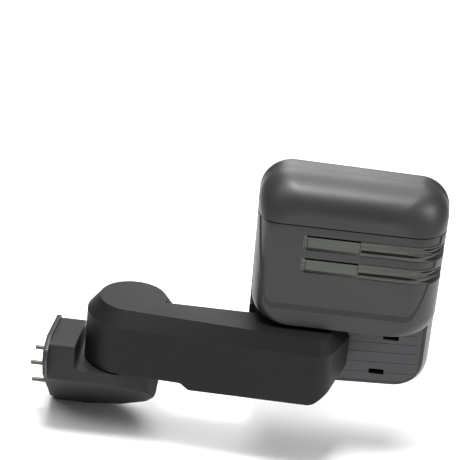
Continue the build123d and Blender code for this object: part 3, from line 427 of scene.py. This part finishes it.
# each strip: start and end along the lens, middle height at both ends, half width, all as shares
LENS_STREAKS = (
    (0.00, 0.54, 0.36, 0.37, 0.090),
    (0.00, 0.94, 0.045, 0.05, 0.022),
    (0.36, 0.86, 0.60, 0.50, 0.022),
    (0.44, 0.90, 0.49, 0.42, 0.020),
    (0.50, 0.84, 0.71, 0.62, 0.016),
    (0.52, 0.68, 0.87, 0.85, 0.060),
    (0.54, 0.96, 0.20, 0.25, 0.165),
    (0.60, 0.95, 0.64, 0.60, 0.150),
    (0.58, 0.93, 0.88, 0.85, 0.055),
)
PANEL_LINE_X = (0.3362, 0.4106)
PANEL_AIM_Y = -0.05
# lines along the inner panel: middle height and half width, as shares of the bar's height
PANEL_LINES = ((0.075, 0.020), (0.165, 0.008))
PANEL_POSTS = (0.3375, 0.3405, 0.3420)
POST_HALF = 0.0002
POST_LOW_GAP, POST_TOP_GAP = 0.0012, 0.0048


def corner_route():
    """Plan points on an offset of the head's front corner, with outward directions, along the outer lens."""
    cx, cy = NOSE_CENTRE
    rx, ry = NOSE_RADII
    flat, bend, side = cx - LENS_START_X, 0.25 * pi * (rx + ry), LENS_END_Y - cy
    total = flat + bend + side
    route = []
    for k in range(ROUTE_STEPS + 1):
        s = total * k / ROUTE_STEPS
        if s < flat:
            route.append((Vector((LENS_START_X + s, cy - ry, 0.0)), Vector((0.0, -1.0, 0.0))))
        elif s < flat + bend:
            a = (s - flat) / bend * pi / 2
            route.append((Vector((cx + rx * sin(a), cy - ry * cos(a), 0.0)), Vector((sin(a), -cos(a), 0.0))))
        else:
            route.append((Vector((cx + rx, cy + s - flat - bend, 0.0)), Vector((1.0, 0.0, 0.0))))
    return route


def route_at(route, t):
    """The route's point and outward direction at a share t of its length."""
    place = t * (len(route) - 1)
    k = min(int(place), len(route) - 2)
    f = place - k
    return route[k][0].lerp(route[k + 1][0], f), route[k][1].lerp(route[k + 1][1], f).normalized()


def skin_point(tree, point, out):
    """The surface under a point, found by a ray from outside, or None."""
    return tree.ray_cast(point + out * RAY_REACH, -out, 2 * RAY_REACH)[0]


def strip_mesh(rows):
    """Points and faces of a closed thin strip; each row is low and high surface points with a direction."""
    points, faces = [], []
    for low, high, out in rows:
        proud, sunk = out * STREAK_PROUD, -out * STREAK_SUNK
        points += [low + proud, high + proud, high + sunk, low + sunk]
    for k in range(len(rows) - 1):
        a, b = 4 * k, 4 * k + 4
        faces += [(a + j, a + (j + 1) % 4, b + (j + 1) % 4, b + j) for j in range(4)]
    last = 4 * (len(rows) - 1)
    faces += [(3, 2, 1, 0), (last, last + 1, last + 2, last + 3)]
    return points, faces


def add_lens_streak(name, tree, route, z0, z1, streak, material):
    """A dark tapering strip laid on the lens, where a groove of its light pipe would show."""
    t0, t1, low_share, high_share, half_share = streak
    rows = []
    for k in range(STREAK_STEPS + 1):
        f = k / STREAK_STEPS
        point, out = route_at(route, t0 + (t1 - t0) * f)
        centre = z0 + (z1 - z0) * (low_share + (high_share - low_share) * f)
        taper = min(1.0, TAPER_END * (1.0 - f)) * (1.0 if t0 == 0.0 else min(1.0, TAPER_START * f))
        half = max((z1 - z0) * half_share * taper, THINNEST)
        low = skin_point(tree, Vector((point.x, point.y, centre - half)), out)
        high = skin_point(tree, Vector((point.x, point.y, centre + half)), out)
        if low and high:
            rows.append((low, high, out))
    if len(rows) < 3:
        raise ValueError(f"{name} misses the lens")
    add_piece(name, *strip_mesh(rows), "head", material, smooth=False)


def add_panel_line(name, tree, x0, x1, low, high, material):
    """A thin dark line on the flat inner panel, between two x positions and two heights."""
    out = Vector((0.0, -1.0, 0.0))
    rows = []
    for x in (x0, x1):
        pair = [skin_point(tree, Vector((x, PANEL_AIM_Y, z)), out) for z in (low, high)]
        if not all(pair):
            raise ValueError(f"{name} misses the panel")
        rows.append((*pair, out))
    add_piece(name, *strip_mesh(rows), "head", material, smooth=False)


def add_signal_details():
    lens_tree, panel_tree = search_tree("signal_lenses"), search_tree("signal_panels")
    black = moulded_resin("pipe_groove", (0.0025, 0.0028, 0.0023), rough=0.6, scale=900.0, specular=0.12)
    route = corner_route()
    for label, z0, z1 in BARS:
        for k, streak in enumerate(LENS_STREAKS):
            add_lens_streak(f"{label}_streak_{k}", lens_tree, route, z0, z1, streak, black)
        for k, (middle, half) in enumerate(PANEL_LINES):
            centre = z0 + (z1 - z0) * middle
            add_panel_line(f"{label}_line_{k}", panel_tree, *PANEL_LINE_X, centre - half * (z1 - z0),
                           centre + half * (z1 - z0), black)
        for k, x in enumerate(PANEL_POSTS):
            add_panel_line(f"{label}_post_{k}", panel_tree, x - POST_HALF, x + POST_HALF,
                           z0 + POST_LOW_GAP, z1 - POST_TOP_GAP, black)


SIGN_CENTRE = (0.3126, 0.2740)
SIGN_HALF = (0.0062, 0.0045)
SIGN_LINE = 0.0005
SIGN_ROUND = 0.0012
SIGN_RISE = 0.00012
WAVES_X = (-0.0028, 0.0, 0.0028)
WAVE_SWING, WAVE_HEIGHT, WAVE_STEPS = 0.0005, 0.0044, 12
GLASS_FACE_Y = 0.0770
RIBBON_SIDES = ((0, 1), (1, 3), (3, 2), (2, 0))


def ribbon(path, half, y0, y1, closed):
    """A closed solid that follows a path in x and z with a constant half width, between two y planes."""
    points, faces = [], []
    count = len(path)
    for k, (x, z) in enumerate(path):
        before = path[k - 1] if closed or k else path[0]
        after = path[(k + 1) % count] if closed or k < count - 1 else path[-1]
        along = Vector((after[0] - before[0], after[1] - before[1])).normalized()
        side = Vector((-along.y, along.x)) * half
        for y in (y0, y1):
            points += [(x - side.x, y, z - side.y), (x + side.x, y, z + side.y)]
    for k in range(count if closed else count - 1):
        a, b = 4 * k, 4 * ((k + 1) % count)
        faces += [(a + i, a + j, b + j, b + i) for i, j in RIBBON_SIDES]
    if not closed:
        last = 4 * (count - 1)
        faces += [(0, 2, 3, 1), (last, last + 1, last + 3, last + 2)]
    return points, faces


def add_heat_sign():
    """The generic heated-glass sign: three rising waves in a rounded frame, printed on the upper glass."""
    ink = moulded_resin("printed_sign", (0.05, 0.05, 0.055), rough=0.6, scale=1500.0)
    cx, cz = SIGN_CENTRE
    frame_path = []
    for sx, sz, start in ((1, 1, 0.0), (-1, 1, 90.0), (-1, -1, 180.0), (1, -1, 270.0)):
        for step in range(6):
            a = radians(start + 18.0 * step)
            frame_path.append((cx + sx * (SIGN_HALF[0] - SIGN_ROUND) + SIGN_ROUND * cos(a),
                               cz + sz * (SIGN_HALF[1] - SIGN_ROUND) + SIGN_ROUND * sin(a)))
    low, high = GLASS_FACE_Y - SIGN_RISE / 2, GLASS_FACE_Y + SIGN_RISE
    add_piece("heat_sign_frame", *ribbon(frame_path, SIGN_LINE, low, high, True), "glass", ink, smooth=False)
    for k, x in enumerate(WAVES_X):
        wave = [(cx + x + WAVE_SWING * sin(2 * pi * t / WAVE_STEPS),
                 cz - WAVE_HEIGHT / 2 + WAVE_HEIGHT * t / WAVE_STEPS) for t in range(WAVE_STEPS + 1)]
        points, faces = ribbon(wave, SIGN_LINE * 0.8, low, high, False)
        add_piece(f"heat_sign_wave_{k}", points, faces, "glass", ink, smooth=False)


# ---------------------------------------------------------------- stage
FLOOR_HALF = 12.0


def add_floor():
    lowest = cad_box[0].z
    mesh = bpy.data.meshes.new("floor")
    floor = bpy.data.objects.new("floor", mesh)
    bpy.context.scene.collection.objects.link(floor)
    corners = [(-1, -1), (1, -1), (1, 1), (-1, 1)]
    mesh.from_pydata([(x * FLOOR_HALF, y * FLOOR_HALF, lowest) for x, y in corners], [], [(0, 1, 2, 3)])
    material, tree, shader = new_material("floor")
    soft = noise(tree, coordinates(tree), 3.0, 2.0)
    colour = blend_colours(tree, soft, (0.90, 0.90, 0.90), (0.94, 0.94, 0.94))
    tree.links.new(colour, shader.inputs["Base Color"])
    shader.inputs["Roughness"].default_value = 0.9
    mesh.materials.append(material)


MIDDLE = (0.26, 0.0, 0.12)
HEAD_TOP = (0.38, 0.05, 0.28)
HEAD_SIDE = (0.5, 0.0, 0.25)
WORLD_STRENGTH = 0.26
# each soft box: name, place, aim, side length in metres and power in watts
SOFT_BOXES = (
    ("key", (-0.9, -0.9, 1.9), MIDDLE, 0.8, 9.0),
    ("top", (0.3, 0.6, 2.6), MIDDLE, 2.4, 62.0),
    ("cap", (0.16, -0.42, 1.75), HEAD_TOP, 0.42, 31.0),
    ("side", (1.75, -0.75, 1.15), HEAD_SIDE, 0.5, 16.0),
    ("back", (0.1, 1.9, 1.6), MIDDLE, 1.2, 22.0),
)


def add_area(name, place, aim, size, power):
    data = bpy.data.lights.new(name, "AREA")
    data.energy = power
    data.size = size
    lamp = bpy.data.objects.new(name, data)
    bpy.context.scene.collection.objects.link(lamp)
    lamp.location = place
    lamp.rotation_mode = "QUATERNION"
    lamp.rotation_quaternion = (Vector(aim) - Vector(place)).to_track_quat("-Z", "Y")


def add_light():
    """A dim white world and five soft boxes."""
    bpy.context.scene.view_settings.view_transform = "Standard"
    world = bpy.data.worlds.new("studio")
    bpy.context.scene.world = world
    world.use_nodes = True
    background = world.node_tree.nodes["Background"]
    background.inputs["Color"].default_value = (1.0, 1.0, 1.0, 1.0)
    background.inputs["Strength"].default_value = WORLD_STRENGTH
    for soft_box in SOFT_BOXES:
        add_area(*soft_box)


add_camera()
dress_cad()
add_signal_details()
add_heat_sign()
add_floor()
add_light()
